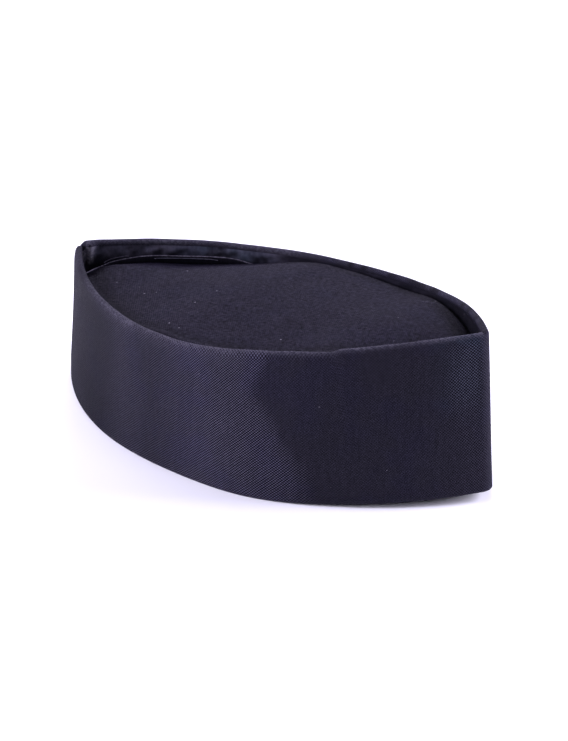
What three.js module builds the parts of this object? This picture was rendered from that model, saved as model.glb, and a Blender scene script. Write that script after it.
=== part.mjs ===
// A boat-shaped folding cap: a stiff doubled side band with a rolled rim, and a domed crown
// carried inside it on an inner side wall. Millimetres, +Z up, +X towards the front tip.
import * as THREE from 'three';

// Plan of the base edge, on the outer face
const baseLength = 254.0;
const baseHalfWidth = 66.6;
const baseBackAngle = 51.1;
const baseFrontAngle = 55.5;
const baseBackRadius = 7.7;
const baseFrontRadius = 6.5;

// Plan of the rim, on the outer face. The near side is the -Y side.
const rimLength = 243.6;
const rimNearHalfWidth = 67.8;
const rimFarHalfWidth = 64.5;
const rimBackAngle = 47.1;
const rimFrontAngle = 48.8;
const rimBackRadius = 5.8;
const rimFrontRadius = 5.8;

// Heights of the rim and of the base edge
const bandHeight = 65.9;
const rimBackRise = 2.0;
const rimFrontRise = 12.8;
const riseExponent = 1.4;
const baseBackLift = 3.2;
const baseFrontLift = 4.4;
const restShare = 0.35;
const liftExponent = 1.6;

// Walls and the room between two pieces
const bandWall = 2.2;
const facingWall = 1.0;
const sideWall = 2.0;
const crownWall = 2.0;
const weltWall = 1.0;
const clearance = 0.3;

// Folded edges of the band
const rimLip = 3.0;
const hemFold = 4.0;
const hemRadius = 0.7;

// Crown and the room at the two tips
const crownDrop = 10.0;
const crownDome = 4.5;
const crownTurn = 2.6;
const crownEdgeWidth = 3.4;
const crownEdgeDepth = 1.0;
const crownTipRadius = 14.0;
const footTipRadius = 4.0;
const ridgeExponent = 1.5;
const weltProud = 1.2;

// Depths of the soft dents and folds
const bellyDepth = 3.7;
const rimDip = 2.0;
const cornerFold = 2.4;

// How far the crown's edge lies below the rim, along the cap. at is a share of the rim's
// half length, counted towards the front, and drop a share of crownDrop.
const crownEdge = [
  { at: -1.00, drop: 1.60 },
  { at: -0.92, drop: 1.40 },
  { at: -0.80, drop: 1.02 },
  { at: -0.60, drop: 1.00 },
  { at: -0.39, drop: 0.70 },
  { at: -0.10, drop: 0.16 },
  { at: 0.06, drop: 0.18 },
  { at: 0.37, drop: 0.54 },
  { at: 0.56, drop: 0.45 },
  { at: 0.78, drop: 0.78 },
  { at: 0.92, drop: 1.25 },
  { at: 1.00, drop: 1.50 },
];

// How far the welt stands above the crown's edge. walk goes once round the cap from the back
// tip, over the far side to the front tip at 0.5, and proud is a share of weltProud.
const weltStand = [
  { walk: 0.00, proud: -0.4 },
  { walk: 0.04, proud: 0.7 },
  { walk: 0.10, proud: 1.0 },
  { walk: 0.16, proud: 0.8 },
  { walk: 0.22, proud: -0.9 },
  { walk: 0.50, proud: -1.0 },
  { walk: 0.90, proud: -1.0 },
  { walk: 1.00, proud: -0.4 },
];

// Places where the rim sinks a little: the back seam and a crease of the near side. reach is in
// the same shares as walk, and depth is a share of rimDip.
const rimDips = [
  { walk: 0.000, reach: 0.006, depth: 1.0 },
  { walk: 0.627, reach: 0.014, depth: 0.6 },
];

// Outward swellings of the band's base. at and reach are shares of the base's half length.
const bellies = [
  { side: -1, at: 0.345, reach: 0.272, depth: 1.0 },
];

// Upright folds of the facing inside the back corner. down is a share of bandHeight.
const facingFolds = [
  { walk: 0.0125, reach: 0.0055, down: 0.20, depth: 1.0 },
];

// The crown's edge where it turns down, as shares of crownEdgeWidth and crownTurn
const turnBend = { inwards: 0.2, drop: 0.33 };

// The hem's bend, as a share of hemRadius
const hemBend = 0.3;

// Share of the base's half width over which a belly runs out towards a tip
const bellyFade = 0.25;

// Facets round the plan, up the walls and over the crown. tipCrowding is 0 for stations that
// are evenly spaced along a side and 1 for stations that crowd most towards the tips.
const tipSteps = 5;
const sideSteps = 32;
const rollSteps = 6;
const tipCrowding = 0.8;
const wallRows = [1 / 3, 2 / 3];
const crownRows = [0.9, 0.76, 0.6, 0.44, 0.28, 0.13];
const halfSteps = tipSteps + sideSteps + tipSteps;
const stationCount = 2 * halfSteps;

// Sizes that follow from the walls
const rimThickness = bandWall + clearance + facingWall;
const sideInset = rimThickness + clearance;
const crownInset = sideInset + weltWall + clearance;
const crownUnderside = crownTurn + crownEdgeDepth;
const seatTipRadius = crownTipRadius + crownInset - sideInset;

const clothColour = 0x24222f;
const facingColour = 0x2a2d3a;

const cloth = new THREE.MeshStandardMaterial({ color: clothColour, roughness: 0.62, metalness: 0 });
const satin = new THREE.MeshStandardMaterial({ color: facingColour, roughness: 0.42, metalness: 0 });

// A smooth curve through two columns of a table
function tableCurve(rows, placeColumn, valueColumn) {
  const places = rows.map((row) => row[placeColumn]);
  const values = rows.map((row) => row[valueColumn]);
  const curve = new THREE.CubicInterpolant(places, values, 1);
  return (place) => {
    const inside = THREE.MathUtils.clamp(place, places[0], places[places.length - 1]);
    return curve.evaluate(inside)[0];
  };
}

const edgeDropShare = tableCurve(crownEdge, 'at', 'drop');
const weltShare = tableCurve(weltStand, 'walk', 'proud');

// A bell that is 1 at its middle and has run out at about twice its reach
function bell(distance, reach) {
  return Math.exp(-((distance / reach) ** 2));
}

// Shortest way between two places on a walk of length 1 round the cap
function walkGap(a, b) {
  const gap = Math.abs(a - b) % 1;
  return Math.min(gap, 1 - gap);
}

// One half of a plan, from the back tip to the front tip, as three joined curves: two tip arcs
// and a side that leaves each tip at its angle and is halfWidth wide at its widest.
function halfOutline({ length, halfWidth, backAngle, frontAngle, backRadius, frontRadius }) {
  const back = THREE.MathUtils.degToRad(backAngle);
  const front = THREE.MathUtils.degToRad(frontAngle);
  const backCentre = new THREE.Vector2(backRadius - length / 2, 0);
  const frontCentre = new THREE.Vector2(length / 2 - frontRadius, 0);
  const start = new THREE.Vector2(-Math.sin(back), Math.cos(back));
  start.multiplyScalar(backRadius).add(backCentre);
  const end = new THREE.Vector2(Math.sin(front), Math.cos(front));
  end.multiplyScalar(frontRadius).add(frontCentre);
  // The middle of a cubic curve lies 3/8 of each handle plus 1/8 of each end away
  const handleHeight = (halfWidth - (start.y + end.y) / 8) * 4 / 3;
  const backHandle = new THREE.Vector2(Math.cos(back), Math.sin(back));
  backHandle.multiplyScalar((handleHeight - start.y) / Math.sin(back)).add(start);
  const frontHandle = new THREE.Vector2(-Math.cos(front), Math.sin(front));
  frontHandle.multiplyScalar((handleHeight - end.y) / Math.sin(front)).add(end);
  const quarter = Math.PI / 2;
  const side = new THREE.CubicBezierCurve(start, backHandle, frontHandle, end);
  const crowded = (step) => {
    const even = step / sideSteps;
    return THREE.MathUtils.lerp(even, (1 - Math.cos(Math.PI * even)) / 2, tipCrowding);
  };
  return [
    ...arc(backCentre, backRadius, Math.PI, quarter + back).getPoints(tipSteps),
    ...Array.from({ length: sideSteps - 1 }, (_, step) => side.getPoint(crowded(step + 1))),
    ...arc(frontCentre, frontRadius, quarter - front, 0).getPoints(tipSteps),
  ];
}

function arc(centre, radius, from, to) {
  return new THREE.EllipseCurve(centre.x, centre.y, radius, radius, from, to, true);
}

// A closed plan: far side from back to front, then near side from front to back
function closedOutline(farHalf, nearHalf) {
  const far = halfOutline(farHalf);
  const near = halfOutline(nearHalf).map((point) => new THREE.Vector2(point.x, -point.y));
  return far.slice(0, halfSteps).concat(near.reverse().slice(0, halfSteps));
}

function swollen(point) {
  const half = baseLength / 2;
  for (const { side, at, reach, depth } of bellies) {
    if (Math.sign(point.y) === side) {
      const narrowing = Math.min(1, Math.abs(point.y) / (baseHalfWidth * bellyFade));
      point.y += side * bellyDepth * depth * narrowing * bell(point.x / half - at, reach);
    }
  }
  return point;
}

const baseHalf = {
  length: baseLength,
  halfWidth: baseHalfWidth,
  backAngle: baseBackAngle,
  frontAngle: baseFrontAngle,
  backRadius: baseBackRadius,
  frontRadius: baseFrontRadius,
};
const rimHalf = {
  length: rimLength,
  backAngle: rimBackAngle,
  frontAngle: rimFrontAngle,
  backRadius: rimBackRadius,
  frontRadius: rimFrontRadius,
};
const basePlan = closedOutline(baseHalf, baseHalf).map(swollen);
const rimPlan = closedOutline(
  { ...rimHalf, halfWidth: rimFarHalfWidth },
  { ...rimHalf, halfWidth: rimNearHalfWidth },
);

function wrap(station) {
  return (station + stationCount) % stationCount;
}

// Share of the way round the rim at which each station lies
function walkShares(plan) {
  const lengths = plan.map((point, place) => point.distanceTo(plan[wrap(place - 1)]));
  lengths[0] = 0;
  const whole = lengths.reduce((sum, length) => sum + length, plan[0].distanceTo(plan.at(-1)));
  let walked = 0;
  return lengths.map((length) => {
    walked += length;
    return walked / whole;
  });
}

const walks = walkShares(rimPlan);

// Outer face of the band at one station and a share of its height
function outerPoint(station, share) {
  const place = wrap(station);
  return new THREE.Vector2().lerpVectors(basePlan[place], rimPlan[place], share);
}

function outwardNormal(station, share) {
  const before = outerPoint(station - 1, share);
  const after = outerPoint(station + 1, share);
  return new THREE.Vector2(before.y - after.y, after.x - before.x).normalize();
}

// Where a circle that touches the wall from inside sits on the middle line, near one tip.
// steps counts the stations that its arc replaces, on one side of the tip.
function tipCircle(tip, direction, share, reach) {
  const side = tip === 0 ? direction : -direction;
  let last = { x: outerPoint(tip, share).x, y: 0, turn: 0 };
  for (let step = 1; step < halfSteps / 2; step += 1) {
    const point = outerPoint(tip + direction * step, share);
    const normal = outwardNormal(tip + direction * step, share);
    const centre = point.addScaledVector(normal, -reach);
    const next = { x: centre.x, y: centre.y * side, turn: Math.acos(Math.abs(normal.x)) };
    if (next.y >= 0) {
      const part = last.y < 0 ? last.y / (last.y - next.y) : 0;
      return {
        steps: step - 1 + part,
        x: THREE.MathUtils.lerp(last.x, next.x, part),
        turn: THREE.MathUtils.lerp(last.turn, next.turn, part),
        side,
      };
    }
    last = next;
  }
  return { steps: 0, x: last.x, turn: 0, side };
}

// A point set inwards from the band's outer face. Near the tips it follows a rounder arc if
// tipRadius asks for one.
function insetPoint(station, share, inset, tipRadius = 0) {
  const place = wrap(station);
  const tip = Math.abs(place - halfSteps) <= halfSteps / 2 ? halfSteps : 0;
  let walked = place - tip;
  if (walked > halfSteps) walked -= stationCount;
  if (tipRadius > 0) {
    const reach = inset + tipRadius;
    const ahead = tipCircle(tip, 1, share, reach);
    const behind = tipCircle(tip, -1, share, reach);
    const circle = walked < 0 ? behind : ahead;
    if (Math.abs(walked) < circle.steps) {
      const turn = circle.turn * Math.abs(walked) / circle.steps;
      const outwards = tip === 0 ? -1 : 1;
      const x = (ahead.x + behind.x) / 2 + outwards * tipRadius * Math.cos(turn);
      return new THREE.Vector2(x, circle.side * tipRadius * Math.sin(turn));
    }
  }
  return outerPoint(place, share).addScaledVector(outwardNormal(place, share), -inset);
}

// Heights along the cap
function baseHeight(station) {
  const along = basePlan[wrap(station)].x / (baseLength / 2);
  const free = Math.max(0, (Math.abs(along) - restShare) / (1 - restShare));
  return (along < 0 ? baseBackLift : baseFrontLift) * free ** liftExponent;
}

function rimHeightAt(along) {
  const rise = along < 0 ? rimBackRise : rimFrontRise;
  return bandHeight + rise * Math.abs(along) ** riseExponent;
}

function rimHeight(station) {
  const place = wrap(station);
  let height = rimHeightAt(rimPlan[place].x / (rimLength / 2));
  for (const { walk, reach, depth } of rimDips) {
    height -= rimDip * depth * bell(walkGap(walks[place], walk), reach);
  }
  return height;
}

function heightShare(station, height) {
  const low = baseHeight(station);
  return (height - low) / (rimHeight(station) - low);
}

// Corners along a wall's face between its foot and its top, at shares of the band's height
function faceRows(station, inset, tipRadiusAt = () => 0) {
  const low = baseHeight(station);
  return wallRows.map((share) => {
    const height = THREE.MathUtils.lerp(low, rimHeight(station), share);
    return { inset, height, tipRadius: tipRadiusAt(share) };
  });
}

function crownEdgeHeight(x) {
  const along = THREE.MathUtils.clamp(x / (rimLength / 2), -1, 1);
  return rimHeightAt(along) - crownDrop * edgeDropShare(along);
}

// How far the facing swells inwards at a station and height
function foldDepth(station, height) {
  let depth = 0;
  for (const fold of facingFolds) {
    const across = bell(walkGap(walks[wrap(station)], fold.walk), fold.reach);
    const under = (rimHeight(station) - height) / (bandHeight * fold.down);
    depth += cornerFold * fold.depth * across * Math.max(0, 1 - under);
  }
  return depth;
}

// A closed solid from rings of points, each as long as the next. Rings follow each other round
// the section and the last joins the first, or the two ends close on middle points.
function ringSolid(rings, ends) {
  const positions = rings.flat().flatMap((point) => [point.x, point.y, point.z]);
  const faces = [];
  const count = rings[0].length;
  const joins = ends ? rings.length - 1 : rings.length;
  for (let ring = 0; ring < joins; ring += 1) {
    const next = (ring + 1) % rings.length;
    for (let place = 0; place < count; place += 1) {
      const beside = (place + 1) % count;
      const [a, b] = [ring * count + place, ring * count + beside];
      const [c, d] = [next * count + place, next * count + beside];
      const rising = rings[ring][place].distanceTo(rings[next][beside]);
      const falling = rings[ring][beside].distanceTo(rings[next][place]);
      faces.push(...(rising < falling ? [a, d, b, a, c, d] : [a, c, b, b, c, d]));
    }
  }
  if (ends) {
    const first = positions.length / 3;
    positions.push(...ends[0].toArray(), ...ends[1].toArray());
    const lastRow = (rings.length - 1) * count;
    for (let place = 0; place < count; place += 1) {
      const beside = (place + 1) % count;
      faces.push(first, place, beside);
      faces.push(first + 1, lastRow + beside, lastRow + place);
    }
  }
  const geometry = new THREE.BufferGeometry();
  geometry.setAttribute('position', new THREE.Float32BufferAttribute(positions, 3));
  geometry.setIndex(faces);
  geometry.computeVertexNormals();
  return geometry;
}

// Turns a section, given as rows of corners at each station, into the rings of a wall. A corner
// stands at its height, or if belowEdge is given, that far under the crown's edge.
function wallRings(sectionAt) {
  const sections = [];
  for (let station = 0; station < stationCount; station += 1) {
    sections.push(sectionAt(station).map(({ inset, height, tipRadius, belowEdge }) => {
      const standing = height ?? crownEdgeHeight(rimPlan[station].x) - belowEdge;
      const point = insetPoint(station, heightShare(station, standing), inset, tipRadius);
      const z = height ?? crownEdgeHeight(point.x) - belowEdge;
      return new THREE.Vector3(point.x, point.y, z);
    }));
  }
  return sections[0].map((corner, row) => sections.map((section) => section[row]));
}

function part(name, geometry, material) {
  const mesh = new THREE.Mesh(geometry, material);
  mesh.name = name;
  return mesh;
}

// The outer cloth: up the outer face, over the rolled rim to its lip, down the back of the
// outer ply, and round the hem.
function bandSection(station) {
  const low = baseHeight(station);
  const top = rimHeight(station);
  const roll = rimThickness / 2;
  const corners = [
    { inset: hemRadius, height: low },
    { inset: hemRadius * hemBend, height: low + hemRadius * hemBend },
    { inset: 0, height: low + hemRadius },
    ...faceRows(station, 0),
  ];
  for (let step = 0; step <= rollSteps; step += 1) {
    const turn = Math.PI * step / rollSteps;
    const inset = roll - roll * Math.cos(turn);
    const height = top - roll + roll * Math.sin(turn);
    corners.push({ inset: inset + foldDepth(station, height) * step / rollSteps, height });
  }
  const lipFoot = top - rimLip;
  corners.push({ inset: rimThickness + foldDepth(station, lipFoot), height: lipFoot });
  corners.push({ inset: bandWall, height: lipFoot });
  corners.push(...faceRows(station, bandWall).reverse());
  corners.push({ inset: bandWall, height: low + hemFold });
  corners.push({ inset: rimThickness, height: low + hemFold });
  corners.push({ inset: rimThickness, height: low + hemRadius });
  corners.push({ inset: rimThickness - hemRadius, height: low });
  return corners;
}

// The inner ply, tucked between the rim's lip and the hem
function facingSection(station) {
  const low = baseHeight(station) + hemFold + clearance;
  const top = rimHeight(station) - rimLip - clearance;
  const outer = bandWall + clearance;
  return [
    { inset: outer, height: low },
    ...faceRows(station, outer),
    { inset: outer, height: top },
    { inset: rimThickness + foldDepth(station, top), height: top },
    ...faceRows(station, rimThickness).reverse(),
    { inset: rimThickness, height: low },
  ];
}

// The inner wall that carries the crown, close to the facing at the sides and rounder than
// the band at both tips.
function sideSection(station) {
  const low = baseHeight(station);
  const belowEdge = crownUnderside + clearance;
  const outerRadius = (share) => THREE.MathUtils.lerp(footTipRadius, seatTipRadius, share);
  const innerRadius = (share) => outerRadius(share) - sideWall;
  const inner = sideInset + sideWall;
  return [
    { inset: sideInset, height: low, tipRadius: outerRadius(0) },
    ...faceRows(station, sideInset, outerRadius),
    { inset: sideInset, belowEdge, tipRadius: outerRadius(1) },
    { inset: inner, belowEdge, tipRadius: innerRadius(1) },
    ...faceRows(station, inner, innerRadius).reverse(),
    { inset: inner, height: low, tipRadius: innerRadius(0) },
  ];
}

// The seam's folded edge, standing on the inner wall beside the crown
function weltSection(station) {
  const foot = crownUnderside;
  const top = -weltProud * weltShare(walks[station]);
  const shoulder = top + weltWall / 2;
  const corner = (across, belowEdge) => {
    return { inset: sideInset + across, belowEdge, tipRadius: seatTipRadius - across };
  };
  return [
    corner(0, foot),
    corner(0, shoulder),
    corner(weltWall / 2, top),
    corner(weltWall, shoulder),
    corner(weltWall, foot),
  ];
}

// Half width of a closed ring at one place along the cap, on one side
function ringHalfWidth(ring, x, side) {
  let widest = 0;
  for (let place = 0; place < ring.length; place += 1) {
    const from = ring[place];
    const to = ring[(place + 1) % ring.length];
    const spans = (from.x - x) * (to.x - x) <= 0 && from.x !== to.x;
    if (spans) {
      const y = THREE.MathUtils.lerp(from.y, to.y, (x - from.x) / (to.x - from.x));
      widest = Math.max(widest, y * side);
    }
  }
  return widest;
}

// A soft roof over the cap's middle line that runs out at the crown's edge
function crownHeight(shoulder, x, y) {
  const side = y < 0 ? -1 : 1;
  const halfWidth = ringHalfWidth(shoulder, x, side);
  const across = halfWidth > 0 ? Math.min(1, Math.abs(y) / halfWidth) : 1;
  const along = Math.min(1, Math.abs(x) / (rimLength / 2));
  const dome = crownDome * Math.sqrt(1 - along ** 2);
  return crownEdgeHeight(x) + dome * (1 - across ** ridgeExponent);
}

// The domed panel, with its edge turned down onto the inner wall
function crownRings() {
  const ringAt = (inwards, drop) => {
    const ring = [];
    for (let station = 0; station < stationCount; station += 1) {
      const share = heightShare(station, crownEdgeHeight(rimPlan[station].x));
      const radius = crownTipRadius - inwards;
      const point = insetPoint(station, share, crownInset + inwards, radius);
      ring.push(new THREE.Vector3(point.x, point.y, crownEdgeHeight(point.x) - drop));
    }
    return ring;
  };
  const shoulder = ringAt(crownEdgeWidth, 0);
  const inner = crownRows.map((share) => shoulder.map((point) => {
    const x = point.x * share;
    const y = point.y * share;
    return new THREE.Vector3(x, y, crownHeight(shoulder, x, y));
  }));
  const lowered = (ring) => ring.map((point) => point.clone().setZ(point.z - crownWall));
  const bend = ringAt(crownEdgeWidth * turnBend.inwards, crownTurn * turnBend.drop);
  const top = [ringAt(0, crownTurn), bend, shoulder, ...inner];
  const under = [ringAt(0, crownUnderside), lowered(shoulder), ...inner.map(lowered)];
  const peak = new THREE.Vector3(0, 0, crownHeight(shoulder, 0, 0));
  const hollow = peak.clone().setZ(peak.z - crownWall);
  return { rings: [...under.reverse(), ...top], ends: [hollow, peak] };
}

const cap = new THREE.Group();
cap.add(part('side_band', ringSolid(wallRings(bandSection)), cloth));
cap.add(part('band_facing', ringSolid(wallRings(facingSection)), satin));
cap.add(part('inner_side', ringSolid(wallRings(sideSection)), cloth));
cap.add(part('crown_welt', ringSolid(wallRings(weltSection)), cloth));
const crown = crownRings();
cap.add(part('crown', ringSolid(crown.rings, crown.ends), cloth));

// The origin is the middle of the footprint, on the surface that the cap rests on
const bounds = new THREE.Box3().setFromObject(cap);
const middle = bounds.getCenter(new THREE.Vector3());
cap.position.set(-middle.x, -middle.y, -bounds.min.z);
cap.updateMatrixWorld(true);

export default cap;
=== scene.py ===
import math

import bpy
import numpy as np
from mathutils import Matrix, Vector


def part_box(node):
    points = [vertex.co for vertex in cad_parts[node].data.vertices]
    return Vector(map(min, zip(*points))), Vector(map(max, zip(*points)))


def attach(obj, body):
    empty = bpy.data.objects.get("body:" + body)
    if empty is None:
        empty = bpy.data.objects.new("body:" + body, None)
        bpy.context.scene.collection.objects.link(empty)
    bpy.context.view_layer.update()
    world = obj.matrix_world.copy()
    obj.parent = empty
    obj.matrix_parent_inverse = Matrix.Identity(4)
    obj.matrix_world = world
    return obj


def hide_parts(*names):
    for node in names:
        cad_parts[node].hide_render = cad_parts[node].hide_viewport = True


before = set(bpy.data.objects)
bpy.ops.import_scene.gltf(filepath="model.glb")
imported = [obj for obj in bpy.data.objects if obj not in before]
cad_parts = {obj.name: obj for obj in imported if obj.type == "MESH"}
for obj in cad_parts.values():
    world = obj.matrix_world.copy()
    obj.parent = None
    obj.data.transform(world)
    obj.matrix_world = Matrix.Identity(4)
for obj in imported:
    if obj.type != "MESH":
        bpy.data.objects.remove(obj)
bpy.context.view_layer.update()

# Sizes are in millimetres and become metres when a mesh is made.
MM = 0.001
band_low, band_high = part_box("side_band")
LENGTH = (band_high.x - band_low.x) / MM
HALF_WIDTH = (band_high.y - band_low.y) / 2 / MM
HEIGHT = band_high.z / MM

# Plan of the base edge and of the rim, on the outer face. The near side is the -Y side.
BASE_LENGTH = 1.0004 * LENGTH
BASE_HALF_WIDTH = 0.9896 * HALF_WIDTH
RIM_LENGTH = 0.9594 * LENGTH
RIM_NEAR_HALF_WIDTH = 1.0074 * HALF_WIDTH
RIM_FAR_HALF_WIDTH = 0.9584 * HALF_WIDTH
MIDDLE_Y = 0.0107 * HALF_WIDTH
BASE_TIPS = {"back_angle": 51.1, "front_angle": 55.5, "back_radius": 7.7, "front_radius": 6.5}
RIM_TIPS = {"back_angle": 47.1, "front_angle": 48.8, "back_radius": 5.8, "front_radius": 5.8}

# Heights of the rim and of the base edge
BAND_HEIGHT = 0.8374 * HEIGHT
RIM_BACK_RISE = 0.0254 * HEIGHT
RIM_FRONT_RISE = HEIGHT - BAND_HEIGHT
RISE_EXPONENT = 1.4
BASE_BACK_LIFT = 3.2
BASE_FRONT_LIFT = 4.4
REST_SHARE = 0.35
LIFT_EXPONENT = 1.6

# Walls, folded edges and the room between two plies
BAND_WALL = 2.2
RIM_WALL = 3.5
SIDE_INSET = 3.8
SIDE_WALL = 2.0
CROWN_INSET = 5.1
CROWN_WALL = 2.0
PLY_ROOM = 0.3
RIM_LIP = 3.0
HEM_FOLD = 4.0
HEM_RADIUS = 0.9

# Crown
CROWN_DROP = 10.0
CROWN_DOME = 4.5
CROWN_TURN = 2.6
CROWN_EDGE_WIDTH = 3.4
CROWN_EDGE_DEPTH = 1.0
CROWN_TIP_RADIUS = 14.0
FRONT_TIP_SHARE = 0.62
FOOT_TIP_RADIUS = 4.0
RIDGE_EXPONENT = 1.5
WELT_PROUD = 1.2
WELT_WALL = 1.0

# How far the crown's edge lies below the rim: places as shares of the rim's half length,
# towards the front, and drops as shares of CROWN_DROP.
CROWN_EDGE_AT = [-1.00, -0.92, -0.80, -0.60, -0.39, -0.10, 0.06, 0.37, 0.56, 0.78, 0.92, 1.00]
CROWN_EDGE_FALL = [1.60, 1.40, 1.02, 1.00, 0.70, 0.16, 0.18, 0.38, 0.27, 0.60, 1.08, 1.38]

# How far the welt stands above the crown's edge, as shares of WELT_PROUD. A walk goes once
# round the cap from the back tip, over the far side to the front tip at about 0.5.
WELT_WALK = [0.00, 0.015, 0.03, 0.05, 0.08, 0.115, 0.142, 0.16, 0.50, 0.90, 1.00]
WELT_STAND = [0.5, 1.3, 1.9, 1.8, 1.9, 2.3, 0.9, -1.6, -1.7, -1.6, 0.5]

# Small swells along the far rim, in millimetres
FAR_RIM_WALK = [0.00, 0.012, 0.03, 0.07, 0.12, 0.175, 0.235, 0.32, 0.37, 0.41, 0.44, 0.48, 0.50]
FAR_RIM_RISE = [0.0, 0.3, 0.2, 0.4, 0.35, 0.0, 0.35, 0.0, 0.2, 1.1, 1.3, 0.8, 0.0]

# Stations round the plan: steps of each tip's arc, and of a side between them
TIP_STEPS = 10
SIDE_STEPS = 236
HALF_STEPS = SIDE_STEPS + 2 * TIP_STEPS
STATIONS = 2 * HALF_STEPS


def smooth_table(places, values):
    """A smooth curve through a table, whose slope at each row is the mean of its neighbours'."""
    places, values = np.array(places, float), np.array(values, float)
    slopes = np.diff(values) / np.diff(places)
    bends = np.concatenate([slopes[:1], (slopes[:-1] + slopes[1:]) / 2, slopes[-1:]])

    def curve(place):
        inside = np.clip(place, places[0], places[-1])
        row = np.clip(np.searchsorted(places, inside, side="right") - 1, 0, len(slopes) - 1)
        step = places[row + 1] - places[row]
        t = (inside - places[row]) / step
        start = (2 * t**3 - 3 * t**2 + 1) * values[row] + (t**3 - 2 * t**2 + t) * step * bends[row]
        end = (3 * t**2 - 2 * t**3) * values[row + 1] + (t**3 - t**2) * step * bends[row + 1]
        return start + end

    return curve


edge_fall = smooth_table(CROWN_EDGE_AT, CROWN_EDGE_FALL)
far_rim_rise = smooth_table(FAR_RIM_WALK, FAR_RIM_RISE)
welt_stand = smooth_table(WELT_WALK, WELT_STAND)


def bell(distance, reach):
    """1 at its middle and run out at about twice its reach."""
    return np.exp(-((distance / reach) ** 2))


def ramp(value, start, end):
    """0 before start and 1 after end, with soft ends."""
    t = np.clip((value - start) / (end - start), 0, 1)
    return t * t * (3 - 2 * t)


def blend(a, b, share):
    """a at a share of 0 and b at 1."""
    return a + (b - a) * share


def half_plan(length, half_width, back_angle, front_angle, back_radius, front_radius):
    """Half a plan from the back tip to the front tip: a side between two tip arcs."""
    back, front = math.radians(back_angle), math.radians(front_angle)
    back_turn = np.linspace(0, math.pi / 2 - back, TIP_STEPS + 1)
    front_turn = np.linspace(math.pi / 2 - front, 0, TIP_STEPS + 1)
    back_arc = back_radius * np.stack([1 - np.cos(back_turn), np.sin(back_turn)], 1)
    front_arc = front_radius * np.stack([np.cos(front_turn) - 1, np.sin(front_turn)], 1)
    back_arc[:, 0] -= length / 2
    front_arc[:, 0] += length / 2
    start, end = back_arc[-1], front_arc[0]
    # The middle of a cubic curve lies 3/8 of each handle plus 1/8 of each end away
    handle_height = (half_width - (start[1] + end[1]) / 8) * 4 / 3
    back_way = np.array([math.cos(back), math.sin(back)])
    front_way = np.array([-math.cos(front), math.sin(front)])
    back_handle = start + back_way * (handle_height - start[1]) / math.sin(back)
    front_handle = end + front_way * (handle_height - end[1]) / math.sin(front)
    t = np.linspace(0, 1, SIDE_STEPS + 1)[1:-1, None]
    side = (1 - t) ** 3 * start + 3 * (1 - t) ** 2 * t * back_handle
    side = side + 3 * (1 - t) * t**2 * front_handle + t**3 * end
    return np.concatenate([back_arc, side, front_arc])


def closed_plan(far, near):
    """Far side from back to front, then near side from front to back."""
    near = near * np.array([1, -1])
    return np.concatenate([far[:HALF_STEPS], near[::-1][:HALF_STEPS]])


# The near side's belly. Its place and reach are shares of the base's half length, and it runs
# out where the base is narrower than a share of its half width.
BELLY_DEPTH = 3.7
BELLY_AT = 0.345
BELLY_REACH = 0.272
BELLY_FADE = 0.25


def swollen(plan):
    """The base, with the near side's soft belly."""
    along = plan[:, 0] / (BASE_LENGTH / 2)
    narrowing = np.minimum(1, np.abs(plan[:, 1]) / (BASE_HALF_WIDTH * BELLY_FADE))
    near = plan[:, 1] < 0
    plan = plan.copy()
    plan[near, 1] -= (BELLY_DEPTH * narrowing * bell(along - BELLY_AT, BELLY_REACH))[near]
    return plan


base_half = half_plan(BASE_LENGTH, BASE_HALF_WIDTH, **BASE_TIPS)
base_plan = swollen(closed_plan(base_half, base_half))
rim_plan = closed_plan(
    half_plan(RIM_LENGTH, RIM_FAR_HALF_WIDTH, **RIM_TIPS),
    half_plan(RIM_LENGTH, RIM_NEAR_HALF_WIDTH, **RIM_TIPS),
)
rim_steps = np.linalg.norm(np.roll(rim_plan, -1, 0) - rim_plan, axis=1)
PERIMETER = float(rim_steps.sum())
walks = np.concatenate([[0], np.cumsum(rim_steps)[:-1]]) / PERIMETER
on_far_side = walks < 0.5


def walk_gap(walk, place):
    """Shortest way from a walk to a place, as a share of the way round."""
    gap = np.abs(walk - place) % 1
    return np.minimum(gap, 1 - gap)


from_back_tip = walk_gap(walks, 0)


def outer_points(share):
    """Outer face of the band at each station, at a share of its height."""
    return blend(base_plan, rim_plan, np.broadcast_to(share, STATIONS)[:, None])


def outward(share):
    """Level unit normals of the band's outer face, at a share of its height."""
    shares = np.broadcast_to(share, STATIONS)[:, None]
    before = blend(np.roll(base_plan, 1, 0), np.roll(rim_plan, 1, 0), shares)
    after = blend(np.roll(base_plan, -1, 0), np.roll(rim_plan, -1, 0), shares)
    way = after - before
    normal = np.stack([-way[:, 1], way[:, 0]], 1)
    return normal / np.linalg.norm(normal, axis=1)[:, None]


def rim_height_at(along):
    """Height of the rim at a share of its half length, negative towards the back."""
    rise = np.where(along < 0, RIM_BACK_RISE, RIM_FRONT_RISE)
    return BAND_HEIGHT + rise * np.abs(along) ** RISE_EXPONENT


# The rim's two ends dip at the back seam, the far one in a short step and the near one in a
# longer round. Past its crease the near side lies a little lower.
SEAM_DIP = 2.2
SEAM_FAR_REACH = 0.0046
SEAM_NEAR_REACH = 0.0110
CREASE_WALK = 0.6115
CREASE_SOFTNESS = 0.004
CREASE_DIP = 1.1
CREASE_RUN = 0.03

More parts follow.
